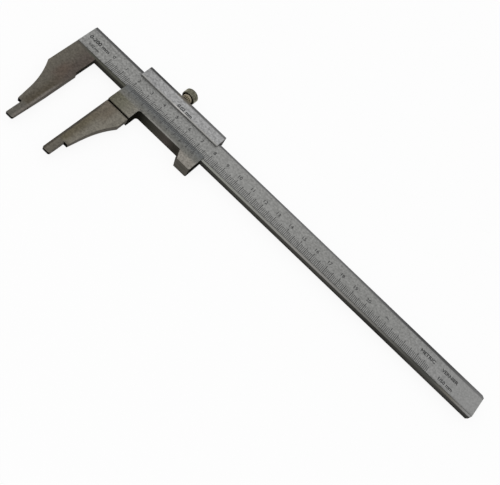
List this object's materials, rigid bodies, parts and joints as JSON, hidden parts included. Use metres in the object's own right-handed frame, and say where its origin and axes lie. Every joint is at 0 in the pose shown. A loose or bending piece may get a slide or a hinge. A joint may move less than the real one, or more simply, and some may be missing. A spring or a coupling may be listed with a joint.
{
  "type": "vernier caliper",
  "caption": "Vernier caliper with nib jaws: a slider with a sloping vernier runs along a graduated beam and is locked by a knurled thumb screw.",
  "frame": {"origin": "under the middle of the whole caliper, level with the slider's back", "axes": "+X along the beam from the fixed jaw to the free end, +Y from the jaw tips to the clamp screw, +Z out of the scale face"},
  "size_m": [0.305, 0.0948, 0.0095],
  "materials": {
    "scale_steel": "satin scale face",
    "jaw_steel": "ground",
    "slider_steel": "brushed",
    "vernier_steel": "satin",
    "fastener_steel": "turned",
    "gib_brass": "drawn strip",
    "screw_brass": "turned",
    "knob_nickel": "nickel plated, knurled"
  },
  "bodies": {
    "beam": {"beam": "scale_steel", "fixed_jaw": "jaw_steel", "fixed_jaw_rivet_1": "fastener_steel", "fixed_jaw_rivet_2": "fastener_steel", "fixed_jaw_rivet_3": "fastener_steel", "stop_screw": "fastener_steel"},
    "slider": {"slider_frame": "slider_steel", "moving_jaw": "jaw_steel", "moving_jaw_rivet_1": "fastener_steel", "moving_jaw_rivet_2": "fastener_steel", "moving_jaw_rivet_3": "fastener_steel", "vernier_plate": "vernier_steel", "vernier_rivet_1": "vernier_steel", "vernier_rivet_2": "vernier_steel", "gib": "gib_brass", "gib_screw_1": "fastener_steel", "gib_screw_2": "fastener_steel"},
    "clamp_pad": {"clamp_pad": "gib_brass"},
    "clamp_screw": {"clamp_screw": "screw_brass", "clamp_knob": "knob_nickel"}
  },
  "joints": [
    {"name": "slider_slide", "type": "slide", "parent": "beam", "child": "slider", "axis": [1, 0, 0], "range_m": [-0.02228, 0.1948]},
    {"name": "clamp_advance", "type": "slide", "parent": "slider", "child": "clamp_pad", "axis": [0, -1, 0], "range_m": [-0.00105, 0.00023]},
    {"name": "clamp_turn", "type": "hinge", "parent": "clamp_pad", "child": "clamp_screw", "pos_m": [-0.0872, 0.04333, 0.005], "axis": [0, -1, 0], "range_deg": [-542, 119]}
  ],
  "couplings": [
    {"joint": "clamp_turn", "follows": "clamp_advance", "rad_per_m": 8976}
  ]
}
